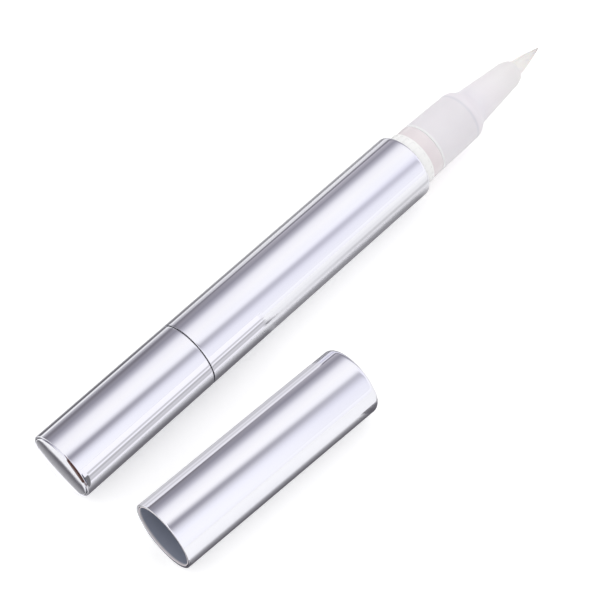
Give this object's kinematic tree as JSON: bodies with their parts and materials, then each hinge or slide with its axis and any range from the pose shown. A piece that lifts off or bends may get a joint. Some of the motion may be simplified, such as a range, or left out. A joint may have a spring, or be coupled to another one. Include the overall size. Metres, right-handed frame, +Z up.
{
  "type": "twist-up whitening pen",
  "caption": "Slim twist-up applicator pen: polished metal barrel, turning rear knob, clear ribbed neck, frosted cone with a pointed brush, and its metal cap laid beside it.",
  "frame": {"origin": "centre of the knob's flat rear face, on the pen's axis", "axes": "+X along the pen from the knob to the brush, +Y away from the cap, +Z up from the surface it lies on"},
  "size_m": [0.1148, 0.0339, 0.012],
  "materials": {
    "polished_metal": "mirror polished, faint lavender tint",
    "spring_steel": "bright drawn wire",
    "clear_plastic": "glossy, clear with a faint milky pink",
    "frosted_plastic": "satin, translucent",
    "white_plastic": "satin",
    "soft_rubber": "matte",
    "bristle_fibre": "fine matte filaments"
  },
  "bodies": {
    "barrel": {"barrel_sleeve": "polished_metal", "reservoir": "clear_plastic", "holder_seal": "soft_rubber", "brush_holder": "frosted_plastic", "bristle_plug": "white_plastic", "feed_tube": "white_plastic", "bristles": "bristle_fibre", "lead_nut": "white_plastic", "ratchet_crown": "white_plastic", "retaining_ring": "spring_steel"},
    "knob": {"knob_sleeve": "polished_metal", "end_plug": "polished_metal", "knob_core": "white_plastic", "drag_ring": "soft_rubber", "click_spring": "spring_steel"},
    "click_wheel": {"click_wheel": "white_plastic"},
    "lead_screw": {"lead_screw": "white_plastic"},
    "piston": {"piston": "white_plastic"},
    "cap": {"cap_sleeve": "polished_metal", "cap_liner": "white_plastic"}
  },
  "joints": [
    {"name": "knob_turn", "type": "hinge", "parent": "barrel", "child": "knob", "pos_m": [0, 0, 0], "axis": [1, 0, 0], "range_deg": [0, 5400]},
    {"name": "click_travel", "type": "slide", "parent": "knob", "child": "click_wheel", "axis": [1, 0, 0], "range_m": [0, 0.0003]},
    {"name": "screw_feed", "type": "slide", "parent": "knob", "child": "lead_screw", "axis": [1, 0, 0], "range_m": [0, 0.03001]},
    {"name": "piston_feed", "type": "slide", "parent": "barrel", "child": "piston", "axis": [1, 0, 0], "range_m": [0, 0.03001]},
    {"name": "cap_pull", "type": "slide", "parent": "barrel", "child": "cap", "axis": [0.9984, -0.0558, 0], "range_m": [0, 0.036]}
  ],
  "couplings": [
    {"joint": "screw_feed", "follows": "knob_turn", "m_per_rad": 0.00031831},
    {"joint": "piston_feed", "follows": "knob_turn", "m_per_rad": 0.00031831}
  ]
}
